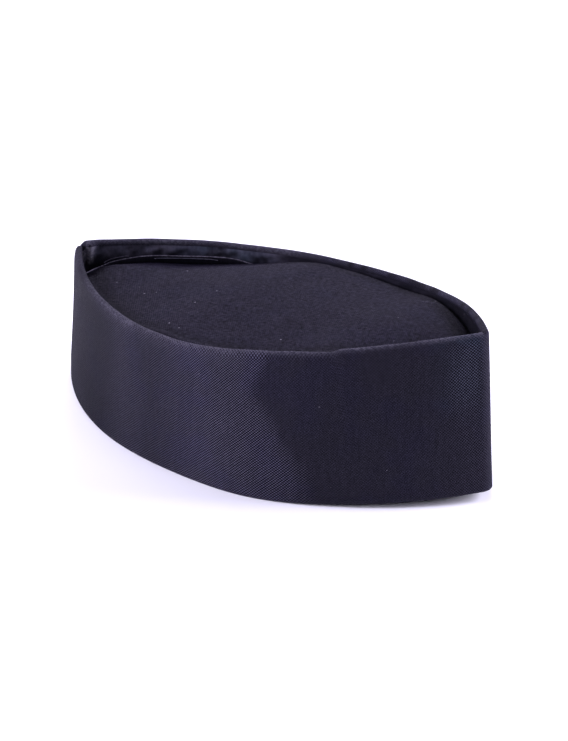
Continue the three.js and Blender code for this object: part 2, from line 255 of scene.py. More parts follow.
base_along = base_plan[:, 0] / (BASE_LENGTH / 2)
base_lift = np.where(base_along < 0, BASE_BACK_LIFT, BASE_FRONT_LIFT)
low = base_lift * np.maximum(0, (np.abs(base_along) - REST_SHARE) / (1 - REST_SHARE)) ** LIFT_EXPONENT
past_crease = ramp(walks, CREASE_WALK - CREASE_SOFTNESS, CREASE_WALK + CREASE_SOFTNESS)
crease_fade = bell(np.maximum(0, walks - CREASE_WALK), CREASE_RUN)
seam_reach = np.where(on_far_side, SEAM_FAR_REACH, SEAM_NEAR_REACH)
rim_top = rim_height_at(rim_plan[:, 0] / (RIM_LENGTH / 2))
rim_top = rim_top - SEAM_DIP * bell(from_back_tip, seam_reach)
rim_top = rim_top - CREASE_DIP * past_crease * crease_fade
rim_top = rim_top + far_rim_rise(walks) * on_far_side


def wall_ring(inset, height):
    """A ring of the band's section, inset from the outer face, at a height."""
    share = (height - low) / (rim_top - low)
    level = outer_points(share) - outward(share) * np.broadcast_to(inset, STATIONS)[:, None]
    return np.column_stack([level, np.broadcast_to(height, STATIONS)])


def closed_mesh(name, rings, caps=()):
    """A closed body from rings of points, in millimetres. Without caps, the last ring joins
    the first; caps are the two middle points that close the first and the last ring. The
    UV map holds the way round and the way along the section, in metres."""
    count, last = len(rings), len(rings) - (1 if len(caps) else 0)
    points = np.concatenate(rings)
    ring, place = np.meshgrid(np.arange(last), np.arange(STATIONS), indexing="ij")
    ring, place = ring.ravel(), place.ravel()
    beside, following = (place + 1) % STATIONS, (ring + 1) % count
    quads = np.stack([
        ring * STATIONS + place,
        ring * STATIONS + beside,
        following * STATIONS + beside,
        following * STATIONS + place,
    ], 1)
    faces = quads.tolist()
    if len(caps):
        points = np.concatenate([points, caps])
        first, final = len(points) - 2, len(points) - 1
        top_row = (count - 1) * STATIONS
        for here in range(STATIONS):
            there = (here + 1) % STATIONS
            faces.append([first, there, here])
            faces.append([final, top_row + here, top_row + there])
    points = points + np.array([0, MIDDLE_Y, 0])
    mesh = bpy.data.meshes.new(name)
    mesh.from_pydata((points * MM).tolist(), [], faces)
    add_cloth_map(mesh, rings, ring, place)
    if signed_volume(points, quads) < 0:
        mesh.flip_normals()
    mesh.polygons.foreach_set("use_smooth", np.ones(len(faces), bool))
    mesh.update()
    piece = bpy.data.objects.new(name, mesh)
    bpy.context.scene.collection.objects.link(piece)
    return piece


def signed_volume(points, quads):
    """Volume that a mesh of quads encloses, negative if its faces point in."""
    a, b, c, d = (points[quads[:, corner]] for corner in range(4))
    return float((a * np.cross(b, c)).sum() + (a * np.cross(c, d)).sum()) / 6


def add_cloth_map(mesh, rings, ring, place):
    """Way round the cap and way up its section, in metres, for every face corner."""
    middle = STATIONS // 4
    section = np.array([points[middle] for points in rings])
    section = np.concatenate([section, section[:1]])
    way = np.concatenate([[0], np.cumsum(np.linalg.norm(np.diff(section, axis=0), axis=1))])
    round_way = np.append(walks, 1) * PERIMETER
    across = np.stack([place, place + 1, place + 1, place], 1)
    up = np.stack([ring, ring, ring + 1, ring + 1], 1)
    corners = np.stack([round_way[across], way[up]], 2).reshape(-1, 2) * MM
    if len(mesh.loops) > len(corners):
        corners = np.concatenate([corners, np.zeros((len(mesh.loops) - len(corners), 2))])
    layer = mesh.uv_layers.new(name="cloth")
    layer.data.foreach_set("uv", corners.astype(np.float32).ravel())


def mark(piece, name, values):
    """Keeps a number from 0 to 1 at every point of a piece, for its material to read."""
    full = np.zeros(len(piece.data.vertices), np.float32)
    values = np.clip(np.asarray(values, np.float32).ravel(), 0, 1)
    full[: len(values)] = values
    layer = piece.data.attributes.new(name, "FLOAT", "POINT")
    layer.data.foreach_set("value", full)


def relief_of_noise(seed, cells_round, cells_up):
    """A smooth seeded relief over the walk (0 to 1, closed) and a height share (0 to 1)."""
    grid = np.random.default_rng(seed).uniform(-1, 1, (cells_round, cells_up + 2))

    def relief(walk, up):
        x = (np.asarray(walk) % 1) * cells_round
        y = np.clip(up, 0, 1) * cells_up
        column, row = np.floor(x).astype(int), np.minimum(np.floor(y).astype(int), cells_up)
        s, t = x - column, y - row
        s, t = s * s * (3 - 2 * s), t * t * (3 - 2 * t)
        column, beside = column % cells_round, (column + 1) % cells_round
        under = blend(grid[column, row], grid[beside, row], s)
        above = blend(grid[column, row + 1], grid[beside, row + 1], s)
        return blend(under, above, t)

    return relief


# The fold that stands inwards in the back corner: widest at the rim, run out below
FOLD_WALK = 0.0105
FOLD_REACH = 0.0050
FOLD_FOOT_SHARE = 0.3
FOLD_DEPTH = 2.6
FOLD_LENGTH = 13.0


def corner_fold(height):
    """How far the fold stands inwards at a height."""
    open_share = np.clip(1 - (rim_top - height) / FOLD_LENGTH, 0, 1)
    width = FOLD_REACH * blend(FOLD_FOOT_SHARE, 1, open_share)
    return FOLD_DEPTH * bell(walk_gap(walks, FOLD_WALK), width) * open_share**0.5


# Heights over which the outer face turns into the rolled rim: in general, past the crease,
# where the turn is softer, and in the back corner
SHOULDER_DROP = 1.9
SOFT_SHOULDER_DROP = 3.2
SOFT_SHOULDER_WALK = 0.66
SOFT_SHOULDER_REACH = 0.08
CORNER_SHOULDER_DROP = 5.5
CORNER_REACH = 0.012
LIP_ROUND = 0.3

# Rings of the band's section
HEM_STEPS = 4
OUTER_ROWS = 60
ROLL_STEPS = 12
BACK_ROWS = 6

# Waves of the outer face, calm over these height shares beside the foot and the rim, small
# puckers under the rim, and the groove of the back seam
WAVE_DEPTH = 0.35
QUICK_WAVE_SHARE = 0.35
WAVES_FROM_FOOT = (0.0, 0.15)
WAVES_FROM_RIM = (0.0, 0.12)
RIM_WAVE_HEIGHT = 0.15
PUCKER_DEPTH = 0.16
PUCKER_WALK = 0.588
PUCKER_REACH = 0.022
PUCKERS_FROM_FOOT = (0.8, 0.95)
PUCKERS_FROM_RIM = (0.0, 0.04)
SEAM_GROOVE = 0.35
SEAM_GROOVE_REACH = 0.0012

slow_waves = relief_of_noise(4, 13, 2)
quick_waves = relief_of_noise(9, 31, 4)
rim_waves = relief_of_noise(5, 47, 1)
puckers = relief_of_noise(15, 190, 1)
roll_creases = relief_of_noise(31, 130, 1)


def hem_turn(step):
    """How far a step of the hem's round edge lies across and up, as shares of its radius."""
    turn = math.pi / 2 * step / HEM_STEPS
    return math.sin(turn), 1 - math.cos(turn)


def band_rings():
    """Rings of the band's section: up the outer face, over the rolled rim and its inner lip,
    down the inner back and round the hem. The second result is how many of them make the
    outer face and the roll."""
    roll = RIM_WALL / 2
    soft = past_crease * bell(np.maximum(0, walks - SOFT_SHOULDER_WALK), SOFT_SHOULDER_REACH)
    corner = CORNER_SHOULDER_DROP - SHOULDER_DROP
    corner = corner * bell(from_back_tip, CORNER_REACH) * ~on_far_side
    shoulder = blend(SHOULDER_DROP, SOFT_SHOULDER_DROP, soft) + corner
    seam = SEAM_GROOVE * bell(from_back_tip, SEAM_GROOVE_REACH)
    top = rim_top + RIM_WAVE_HEIGHT * rim_waves(walks, 0)
    puckered = PUCKER_DEPTH * bell(walk_gap(walks, PUCKER_WALK), PUCKER_REACH) * puckers(walks, 0)

    def outer_row(height):
        up = (height - low) / (top - low)
        calm = ramp(up, *WAVES_FROM_FOOT) * ramp(1 - up, *WAVES_FROM_RIM)
        waves = slow_waves(walks, up) + QUICK_WAVE_SHARE * quick_waves(walks, up)
        near_rim = ramp(up, *PUCKERS_FROM_FOOT) * ramp(1 - up, *PUCKERS_FROM_RIM)
        return wall_ring(seam - WAVE_DEPTH * waves * calm - puckered * near_rim, height)

    rings = []
    for step in range(HEM_STEPS + 1):
        across, up = hem_turn(step)
        rings.append(wall_ring(HEM_RADIUS * (1 - across) + seam, low + HEM_RADIUS * up))
    for row in range(1, OUTER_ROWS):
        rings.append(outer_row(blend(low + HEM_RADIUS, top - shoulder, row / OUTER_ROWS)))
    for step in range(ROLL_STEPS + 1):
        turn = math.pi * step / ROLL_STEPS
        drop = shoulder if step < ROLL_STEPS / 2 else roll
        height = top - drop + drop * math.sin(turn)
        folded = corner_fold(height) * step / ROLL_STEPS
        rings.append(wall_ring(roll - roll * math.cos(turn) + seam * (turn < 2) + folded, height))
    outer_rings = len(rings)

    lip_foot = top - RIM_LIP
    for height in (blend(top - roll, lip_foot, 0.5), lip_foot + LIP_ROUND):
        rings.append(wall_ring(RIM_WALL + corner_fold(height), height))
    rings.append(wall_ring(RIM_WALL - LIP_ROUND + corner_fold(lip_foot), lip_foot))
    hem_top = low + HEM_FOLD
    for row in range(BACK_ROWS + 1):
        rings.append(wall_ring(BAND_WALL, blend(lip_foot, hem_top, row / BACK_ROWS)))
    rings.append(wall_ring(RIM_WALL, hem_top))
    for step in range(HEM_STEPS + 1):
        across, up = hem_turn(step)
        rings.append(wall_ring(RIM_WALL - HEM_RADIUS * up, low + HEM_RADIUS * (1 - across)))
    return rings, outer_rings


# Where stretches of the band begin or end: walks between which each comes in or runs out
FAR_BACK_STARTS = (0.0, 0.02)
FAR_FRONT_STARTS = (0.17, 0.26)
NEAR_SIDE_STARTS = (0.497, 0.508)
SHINY_PATCH_ENDS = (0.52, 0.55)
NEAR_FRONT_ENDS = (0.515, 0.545)
SOFT_HIGHLIGHT_STARTS = (0.655, 0.70)
SOFT_HIGHLIGHT_ENDS = (0.80, 0.92)
CALM_CORNER_STARTS = (0.82, 0.92)
# The near side's back is darkened in two steps by painted shade
BACK_SHADES = [
    {"shade": 0.42, "starts": (0.71, 0.78)},
    {"shade": 0.22, "starts": (0.80, 0.88)},
]

# How far below the rim, or above the hem, rubbing, painted highlight and painted shade reach,
# in millimetres
RIM_WEAR_AND_HIGHLIGHT_REACH = 1.1
SOFT_HIGHLIGHT_REACH = 4.5
LIP_HIGHLIGHT_REACH = 2.6
HEM_WEAR_REACH = 0.8
LIP_SHADE_REACH = 4.0
ROLL_SHADE_REACH = 0.8
UNDER_LIP_STARTS = (0.8, 2.4)
# Strength of the painted sheen on the patch by the front tip
PATCH_SHEEN = 0.4

# Strength of the edge marks: how much less rubbing and painted highlight the near rim has in its
# calm corner, the painted highlight that its soft run adds, the painted highlight all along the far
# rim, there at the back and on the lip, and on the corner's fold, and the rubbing on the hem. Along
# both rims it swings round a level.
CALM_CORNER = 0.55
SOFT_HIGHLIGHT = 0.5
FAR_RIM_HIGHLIGHT = 0.1
FAR_BACK_HIGHLIGHT = 0.45
FAR_LIP_HIGHLIGHT = 0.65
FOLD_HIGHLIGHT = 1.2
HEM_WEAR = 0.5
EDGE_MARK_LEVEL = 0.8
EDGE_MARK_SWING = 0.3

# Strength of the far rim's painted shade: in its creases, as a level, a swing and a most, under
# its lip, and on its outer roll, which has more towards the front
CREASE_SHADE = 0.25
CREASE_SHADE_SWING = 0.7
MOST_CREASE_SHADE = 0.8
UNDER_LIP_SHADE = 0.6
ROLL_SHADE = 0.15
FRONT_ROLL_SHADE = 0.45


def band_wear_and_highlight(heights, inner_lip):
    """Rubbing and painted highlights on the edges: both on the near rim, painted highlights on the
    far rim's lip and fold, and rubbing on the hem.
    """
    below_rim = np.maximum(rim_top - heights, 0)
    rim_edge = bell(below_rim, RIM_WEAR_AND_HIGHLIGHT_REACH) * (1 - CALM_CORNER * ramp(walks, *CALM_CORNER_STARTS))
    soft_highlight_run = ramp(walks, *SOFT_HIGHLIGHT_STARTS) * (1 - ramp(walks, *SOFT_HIGHLIGHT_ENDS))
    rim_edge = rim_edge + SOFT_HIGHLIGHT * bell(below_rim, SOFT_HIGHLIGHT_REACH) * soft_highlight_run
    far_back = ramp(walks, *FAR_BACK_STARTS) * (1 - ramp(walks, *FAR_FRONT_STARTS)) * on_far_side
    lip_edge = FAR_RIM_HIGHLIGHT * on_far_side + far_back * (FAR_BACK_HIGHLIGHT + FAR_LIP_HIGHLIGHT * inner_lip)
    lip_edge = bell(below_rim, LIP_HIGHLIGHT_REACH) * lip_edge
    folded = np.array([corner_fold(height) / FOLD_DEPTH for height in heights]) * inner_lip
    lip_edge = np.maximum(lip_edge, FOLD_HIGHLIGHT * folded)
    uneven = EDGE_MARK_LEVEL + EDGE_MARK_SWING * rim_waves(walks, 1)
    hem_edge = HEM_WEAR * bell(heights - low, HEM_WEAR_REACH)
    return np.maximum(rim_edge * ~on_far_side, lip_edge) * uneven + hem_edge


def band_shade(heights, inner_lip, outside):
    """How far painted shade darkens the cloth: the near side's back, and the far rim's creases and lip.
    """
    below_rim = np.maximum(rim_top - heights, 0)
    back_shade = sum(row["shade"] * ramp(walks, *row["starts"]) for row in BACK_SHADES)
    far_front = ramp(walks, *FAR_FRONT_STARTS) * on_far_side
    reach = np.where(inner_lip, LIP_SHADE_REACH, ROLL_SHADE_REACH)
    creased = CREASE_SHADE + CREASE_SHADE_SWING * roll_creases(walks, 0)
    creased = np.clip(creased, 0, MOST_CREASE_SHADE) * bell(below_rim, reach)
    under_lip = UNDER_LIP_SHADE * ramp(below_rim, *UNDER_LIP_STARTS) * inner_lip
    shade = np.maximum(back_shade * outside, far_front * np.maximum(creased, under_lip))
    outer_roll = bell(below_rim, ROLL_SHADE_REACH) * (ROLL_SHADE + FRONT_ROLL_SHADE * far_front)
    return np.maximum(shade, outer_roll * on_far_side * ~inner_lip)


def side_band():
    """Outer cloth of the band, with its rolled rim and hem."""
    rings, outer_rings = band_rings()
    piece = closed_mesh("cloth_band", rings)
    heights = np.array([ring[:, 2] for ring in rings])
    up = (heights - low) / (rim_top - low)
    ring_numbers = np.arange(len(rings))[:, None]
    outside = ring_numbers < outer_rings
    inner_lip = ring_numbers >= outer_rings - ROLL_STEPS // 2
    # The band's marks: rubbing and painted highlights on its edges, painted rib highlight, painted sheen
    # and painted shade
    mark(piece, "edge", band_wear_and_highlight(heights, inner_lip))
    mark(piece, "painted_light", painted_rib_highlight(up) * outside)
    mark(piece, "sheen", PATCH_SHEEN * front_patch(up) * outside)
    mark(piece, "shade", band_shade(heights, inner_lip, outside))
    return piece


# The painted rib highlight along the near side's back: the walk where it starts at the rim, how
# much earlier it starts towards the hem, and how softly at the hem and at the rim
RIB_HIGHLIGHT_START = 0.656
RIB_HIGHLIGHT_LEAD = 0.035
RIB_HIGHLIGHT_LEAD_UP = (0.1, 0.75)
RIB_HIGHLIGHT_SOFTNESS = (0.05, 0.022)
RIB_HIGHLIGHT_WANDER = 0.012
RIB_HIGHLIGHT_ENDS = (0.79, 0.87)
PATCH_UP = (0.40, 0.72)
FRONT_RIM_UP = (0.94, 0.985)
FAR_RIB_HIGHLIGHT_STARTS = (0.05, 0.15)
FAR_RIB_HIGHLIGHT_ENDS = (0.42, 0.48)
# How strong the painted rib highlight is by the front tip, stronger in its shiny patch and less at
# its rim, and on the far side
FRONT_RIB_HIGHLIGHT = 0.3
PATCH_RIB_HIGHLIGHT = 0.28
FRONT_RIM_CALM = 0.7
FAR_RIB_HIGHLIGHT = 0.5


def front_patch(up):
    """Upper part of the near side by the front tip, with painted sheen and painted rib highlight."""
    return ramp(up, *PATCH_UP) * (1 - ramp(walks, *SHINY_PATCH_ENDS)) * ramp(walks, *NEAR_SIDE_STARTS)


def painted_rib_highlight(up):
    """Painted rib highlight, where the ribs show deeper and the cloth is lighter: most along the
    near side's back, less by the front tip and on the far side."""
    wander = RIB_HIGHLIGHT_WANDER * quick_waves(walks, up)
    start = RIB_HIGHLIGHT_START - RIB_HIGHLIGHT_LEAD * (1 - ramp(up, *RIB_HIGHLIGHT_LEAD_UP)) + wander
    near_back = ramp(walks, start, start + blend(*RIB_HIGHLIGHT_SOFTNESS, up)) * (1 - ramp(walks, *RIB_HIGHLIGHT_ENDS))
    near_front = (FRONT_RIB_HIGHLIGHT + PATCH_RIB_HIGHLIGHT * front_patch(up)) * (1 - ramp(walks + wander, *NEAR_FRONT_ENDS))
    near_front = near_front * (1 - FRONT_RIM_CALM * ramp(up, *FRONT_RIM_UP))
    far = FAR_RIB_HIGHLIGHT * ramp(walks, *FAR_RIB_HIGHLIGHT_STARTS) * (1 - ramp(walks, *FAR_RIB_HIGHLIGHT_ENDS))
    return near_back + near_front * ramp(walks, *NEAR_SIDE_STARTS) + far


# The satin ply. Its creases lean, by a walk for each share of the band's height or for each
# millimetre below the rim, and the painted light of its upper strip gives way to painted shade at
# these depths below the rim.
FACING_ROWS = 44
FACING_ROW_EXPONENT = 0.6
FACING_TUCK = 0.8
FACING_ROOM = 0.12
CREASE_DEPTH = 0.7
CREASE_LEAN = 0.12
CREASE_QUICKNESS = 2.2
SWELL_SHARE = 0.6
CREASES_FROM_RIM = (0.04, 0.09)
SHINE_LEAN = 0.0025
SHINE_CREASE_HEIGHT = 9
FINE_CREASE_HEIGHT = 12
LIT_STRIP_DEPTH = 15.0
FRONT_LIT_STRIP_DEPTH = 4.6
LIT_STRIP_TURNS = (0.20, 0.33)
SHADED_FRONT_STARTS = (0.16, 0.22)
CORNER_SHINE_REACH = 0.010
CORNER_SHINE_DEPTH = (6, 13)
SHEEN_WALK = 0.134
SHEEN_REACH = 0.022
# Strength of the satin's painted shine: a level, how far wide and fine creases change it and the
# least that they leave, the depth below the rim down to which it is full, how much painted shade
# takes off past the far back, its strength in the back corner, where it paints light into the
# shade, how far creases change it there, and the strength of its painted teal sheen
SHINE_LEVEL = 0.6
CREASE_SHINE = 0.42
FINE_SHINE = 0.22
LEAST_SHINE = 0.1
FULL_DEPTH = 1.5
SHADED_FRONT = 0.9
CORNER_SHINE = 0.45
CORNER_CREASE_SHINE = 0.8
FACING_SHEEN = 0.4

facing_creases = relief_of_noise(21, 104, 3)
facing_swells = relief_of_noise(22, 27, 2)
fine_creases = relief_of_noise(23, 260, 5)


def facing_relief(height):
    """How far the satin ply stands inwards from its flat lie."""
    under = np.clip((rim_top - height) / BAND_HEIGHT, 0, 1)
    leaning = walks + CREASE_LEAN * under
    creases = facing_creases(leaning, under * CREASE_QUICKNESS)
    creases = creases + SWELL_SHARE * facing_swells(walks, under)
    return CREASE_DEPTH * np.abs(creases) * ramp(under, *CREASES_FROM_RIM) + corner_fold(height)


def band_facing():
    """Inner satin ply, tucked between the rim's lip and the hem."""
    top = rim_top - RIM_LIP + FACING_TUCK
    foot = low + HEM_FOLD + PLY_ROOM
    front, back = [], []
    for row in range(FACING_ROWS + 1):
        height = blend(foot, top, (row / FACING_ROWS) ** FACING_ROW_EXPONENT)
        front.append(wall_ring(RIM_WALL - FACING_ROOM + facing_relief(height), height))
        back.append(wall_ring(BAND_WALL + PLY_ROOM, height))
    rings = back + front[::-1]
    piece = closed_mesh("satin_facing", rings)

    heights = np.array([ring[:, 2] for ring in rings])
    under = rim_top - heights
    # Painted light on the upper strip and its creases, with painted shade below it and past the far back
    lit_strip_depth = blend(LIT_STRIP_DEPTH, FRONT_LIT_STRIP_DEPTH, ramp(walks, *LIT_STRIP_TURNS))
    creases = facing_creases(walks + SHINE_LEAN * under, under / SHINE_CREASE_HEIGHT)
    crease_shine = SHINE_LEVEL + CREASE_SHINE * creases
    crease_shine = crease_shine + FINE_SHINE * fine_creases(walks, under / FINE_CREASE_HEIGHT)
    lit = (1 - ramp(under, FULL_DEPTH, lit_strip_depth)) * np.clip(crease_shine, LEAST_SHINE, 1)
    mark(piece, "painted_light", lit * (1 - SHADED_FRONT * ramp(walks, *SHADED_FRONT_STARTS)))
    # Painted highlight on the corner's fold, and painted light in the shaded back corner
    fold = np.array([corner_fold(height) / FOLD_DEPTH for height in heights])
    corner = CORNER_SHINE * bell(from_back_tip, CORNER_SHINE_REACH) * (1 + CORNER_CREASE_SHINE * creases)
    mark(piece, "edge", np.maximum(fold, corner * (1 - ramp(under, *CORNER_SHINE_DEPTH))))
    # Painted teal sheen
    sheen = FACING_SHEEN * bell(walk_gap(walks, SHEEN_WALK), SHEEN_REACH)
    mark(piece, "sheen", np.broadcast_to(sheen, heights.shape))
    return piece


def tip_circle(tip, direction, share, reach):
    """Where a circle that touches the wall from inside sits on the middle line by one tip:
    the stations that its arc replaces, its middle, the angle it spans and its side."""
    side = direction if tip == 0 else -direction
    stations = (tip + direction * np.arange(1, HALF_STEPS // 2)) % STATIONS
    points, normals = outer_points(share), outward(share)
    centres = points[stations] - normals[stations] * reach
    turns = np.arccos(np.abs(normals[stations, 0]))
    x = np.concatenate([[points[tip, 0]], centres[:, 0]])
    y = np.concatenate([[0], centres[:, 1] * side])
    turns = np.concatenate([[0], turns])
    step = int(np.argmax(y[1:] >= 0)) + 1
    part = y[step - 1] / (y[step - 1] - y[step]) if y[step - 1] < 0 else 0
    return {
        "steps": step - 1 + part,
        "x": blend(x[step - 1], x[step], part),
        "turn": blend(turns[step - 1], turns[step], part),
        "side": side,
    }


def level_ring(inset, share, round_radius):
    """A ring inset from the band at one share of its height, rounder at both tips."""
    ring = outer_points(share) - outward(share) * inset
    for tip, outwards, tip_share in ((0, -1, 1), (HALF_STEPS, 1, FRONT_TIP_SHARE)):
        tip_radius = round_radius * tip_share
        ahead = tip_circle(tip, 1, share, inset + tip_radius)
        behind = tip_circle(tip, -1, share, inset + tip_radius)
        middle = (ahead["x"] + behind["x"]) / 2
        for circle, direction in ((ahead, 1), (behind, -1)):
            walked = np.arange(0, math.ceil(circle["steps"]))
            turn = circle["turn"] * walked / max(circle["steps"], 1e-6)
            here = (tip + direction * walked) % STATIONS
            ring[here, 0] = middle + outwards * tip_radius * np.cos(turn)
            ring[here, 1] = circle["side"] * tip_radius * np.sin(turn)
    return ring


RING_SHARES = np.linspace(0, 1, 6)


def round_ring(inset, height, radius_at):
    """A ring at each station's own height, rounder at the tips by radius_at(share)."""
    share = np.clip((height - low) / (rim_top - low), 0, 1)
    levels = np.stack([level_ring(inset, level, radius_at(level)) for level in RING_SHARES])
    row = np.clip((share * (len(RING_SHARES) - 1)).astype(int), 0, len(RING_SHARES) - 2)
    part = (share * (len(RING_SHARES) - 1) - row)[:, None]
    stations = np.arange(STATIONS)
    return blend(levels[row, stations], levels[row + 1, stations], part)


def crown_edge_height(x):
    """Height of the crown's edge, before it turns down, at a length along the cap."""
    along = np.clip(x / (RIM_LENGTH / 2), -1, 1)
    return rim_height_at(along) - CROWN_DROP * edge_fall(along)


def ring_below_edge(inset, below, radius_at):
    """A ring that follows the crown's edge, a distance below it."""
    standing = crown_edge_height(rim_plan[:, 0]) - below
    level = round_ring(inset, standing, radius_at)
    return np.column_stack([level, crown_edge_height(level[:, 0]) - below])


SEAT_TIP_RADIUS = CROWN_TIP_RADIUS + CROWN_INSET - SIDE_INSET
CROWN_UNDERSIDE = CROWN_TURN + CROWN_EDGE_DEPTH
SIDE_ROWS = 10


def inner_side():
    """Inner wall that carries the crown, from the hem to the crown's edge."""
    below = CROWN_UNDERSIDE + PLY_ROOM

    def face(inset, thinner):
        """One face of the wall, whose tip arcs are smaller by thinner."""
        rows = []

        def radius_at(share):
            return blend(FOOT_TIP_RADIUS, SEAT_TIP_RADIUS, share) - thinner

        edge = ring_below_edge(inset, below, radius_at)
        for row in range(SIDE_ROWS):
            height = blend(low, rim_top, row / SIDE_ROWS)
            level = round_ring(inset, height, radius_at)
            rows.append(np.column_stack([level, np.minimum(height, edge[:, 2])]))
        return [*rows, edge]

    outer, inner = face(SIDE_INSET, 0), face(SIDE_INSET + SIDE_WALL, SIDE_WALL)
    return closed_mesh("inner_wall", outer + inner[::-1])


WELT_STEPS = 6


def crown_welt():
    """Folded edge of the crown's seam, beside the crown."""
    top = -WELT_PROUD * welt_stand(walks)
    half = WELT_WALL / 2

    def row(across, below):
        return ring_below_edge(SIDE_INSET + across, below, lambda share: SEAT_TIP_RADIUS - across)

    rings = [row(0, CROWN_UNDERSIDE)]
    for step in range(WELT_STEPS + 1):
        turn = math.pi * step / WELT_STEPS
        rings.append(row(half - half * math.cos(turn), top + half - half * math.sin(turn)))
    rings.append(row(WELT_WALL, CROWN_UNDERSIDE))
    piece = closed_mesh("welt_fold", rings)
    edge = np.zeros((len(rings), STATIONS))
    # The top of the fold carries a painted highlight
    edge[2:WELT_STEPS + 1] = 1
    mark(piece, "edge", edge)
    return piece


def put(tree, kind, inputs=(), **settings):
    """A node with its settings. Its inputs, by name or number, are values or other sockets."""
    node = tree.nodes.new(kind)
    for setting, value in settings.items():
        setattr(node, setting, value)
    for key, value in dict(inputs).items():
        link_or_set(tree, node.inputs[key], value)
    return node


def link_or_set(tree, socket, value):
    """Links another socket to an input, or sets the input to a plain value."""
    if isinstance(value, bpy.types.NodeSocket):
        tree.links.new(value, socket)
    else:
        socket.default_value = value


# The seam's other plies show in two runs beside the welt, each from one walk to another. stand
# is how far a ply stands above the welt's fold, and inset how far inside the welt's outer face.
# Each dips at both ends.
PLY_RUNS = [
    {"start": 0.014, "end": 0.046, "stand": 1.3, "inset": 0.3},
    {"start": 0.066, "end": 0.126, "stand": -1.3, "inset": 1.3},
]
PLY_WIDTH = 0.5
PLY_HEIGHT = 0.6
PLY_STEP = 1.0
PLY_SIDES = 8
PLY_END_DIP = 0.6
PLY_END_EXPONENT = 0.4


def folded_edge_tree():
    """Geometry Nodes: a folded edge of cloth along a path, with an oval section."""
    tree = bpy.data.node_groups.new("folded_edge", "GeometryNodeTree")
    sockets = [
        ("Path", "NodeSocketGeometry"),
        ("Width", "NodeSocketFloat"),
        ("Height", "NodeSocketFloat"),
        ("Step", "NodeSocketFloat"),
        ("Cloth", "NodeSocketMaterial"),
    ]
    for label, kind in sockets:
        tree.interface.new_socket(label, in_out="INPUT", socket_type=kind)
    tree.interface.new_socket("Edge", in_out="OUTPUT", socket_type="NodeSocketGeometry")
    given = tree.nodes.new("NodeGroupInput").outputs
    result = tree.nodes.new("NodeGroupOutput").inputs
    path = put(tree, "GeometryNodeMeshToCurve", {"Mesh": given["Path"]}).outputs[0]
    steps = {"Curve": path, "Length": given["Step"]}
    even = put(tree, "GeometryNodeResampleCurve", steps, mode="LENGTH").outputs[0]
    section = put(tree, "GeometryNodeCurvePrimitiveCircle", {"Resolution": PLY_SIDES, "Radius": 0.5})
    size = put(tree, "ShaderNodeCombineXYZ", {"X": given["Height"], "Y": given["Width"], "Z": 1.0})
    stretch = {"Geometry": section.outputs["Curve"], "Scale": size.outputs[0]}
    oval = put(tree, "GeometryNodeTransform", stretch).outputs[0]
    sweep = {"Curve": even, "Profile Curve": oval, "Fill Caps": True}
    body = put(tree, "GeometryNodeCurveToMesh", sweep).outputs[0]
    smooth = put(tree, "GeometryNodeSetShadeSmooth", {"Geometry": body}).outputs[0]
    real = put(tree, "GeometryNodeRealizeInstances", {"Geometry": smooth}).outputs[0]
    finished = put(tree, "GeometryNodeSetMaterial", {"Geometry": real, "Material": given["Cloth"]})
    tree.links.new(finished.outputs[0], result["Edge"])
    return tree


def baked(piece, tree, values):
    """The plain mesh that a Geometry Nodes tree makes of a piece, with its inputs by name."""
    modifier = piece.modifiers.new("shape", "NODES")
    modifier.node_group = tree
    for socket in tree.interface.items_tree:
        if socket.in_out == "INPUT" and socket.name in values:
            modifier[socket.identifier] = values[socket.name]
    shown = piece.evaluated_get(bpy.context.evaluated_depsgraph_get())
    mesh = bpy.data.meshes.new_from_object(shown)
    piece.modifiers.clear()
    piece.data = mesh
    return piece


def seam_plies(cloth):
    """Two runs of the seam's other plies, as thin folded edges that dip away at their ends."""
    points, edges = [], []
    for run in PLY_RUNS:
        inside = (walks >= run["start"]) & (walks <= run["end"])
        part = np.clip((walks - run["start"]) / (run["end"] - run["start"]), 0, 1)
        dip = PLY_END_DIP * (1 - np.sin(math.pi * part) ** PLY_END_EXPONENT)
        below = dip - WELT_PROUD * welt_stand(walks) - run["stand"]
        tip_radius = SEAT_TIP_RADIUS - run["inset"]
        ring = ring_below_edge(SIDE_INSET + run["inset"], below, lambda share: tip_radius)
        first = len(points)
        points.extend((ring[inside] + np.array([0, MIDDLE_Y, 0])) * MM)
        edges.extend((place, place + 1) for place in range(first, len(points) - 1))
    mesh = bpy.data.meshes.new("seam_plies")
    mesh.from_pydata([tuple(point) for point in points], edges, [])
    piece = bpy.data.objects.new("seam_plies", mesh)
    bpy.context.scene.collection.objects.link(piece)
    sizes = {"Width": PLY_WIDTH * MM, "Height": PLY_HEIGHT * MM, "Step": PLY_STEP * MM, "Cloth": cloth}
    return baked(piece, folded_edge_tree(), sizes)


CROWN_RINGS = 60
TURN_STEPS = 6
UNDERSIDE_EVERY = 6
# Soft swells of the crown: their height, the lengths over which they turn, and a shift
CROWN_SWELL = 0.12
SWELL_ALONG = 17
SWELL_BEND = 13
SWELL_ACROSS = 15
SWELL_SHIFT = 1.3
# Along its far back the crown draws away from the welt, which leaves a dark groove.
GROOVE_WIDTH = 1.2
GROOVE_DROP = 0.3
GROOVE_STARTS = (0.0, 0.025)
GROOVE_ENDS = (0.15, 0.22)
GROOVE_SHARES = (0.75, 1.0)
# Along its far front it reaches over the lowered welt.
FRONT_REACH = 0.9
REACH_STARTS = (0.28, 0.36)
REACH_ENDS = (0.46, 0.50)
# A short crease near the crown's front: its two ends, as lengths along and across the cap
CROWN_CREASE_START = (66.0, 33.0)
CROWN_CREASE_END = (75.5, 36.2)
CROWN_CREASE_HEIGHT = 0.5
CROWN_CREASE_REACH = 1.1
# How strongly a painted highlight lightens the crease
CROWN_CREASE_HIGHLIGHT = 1.6
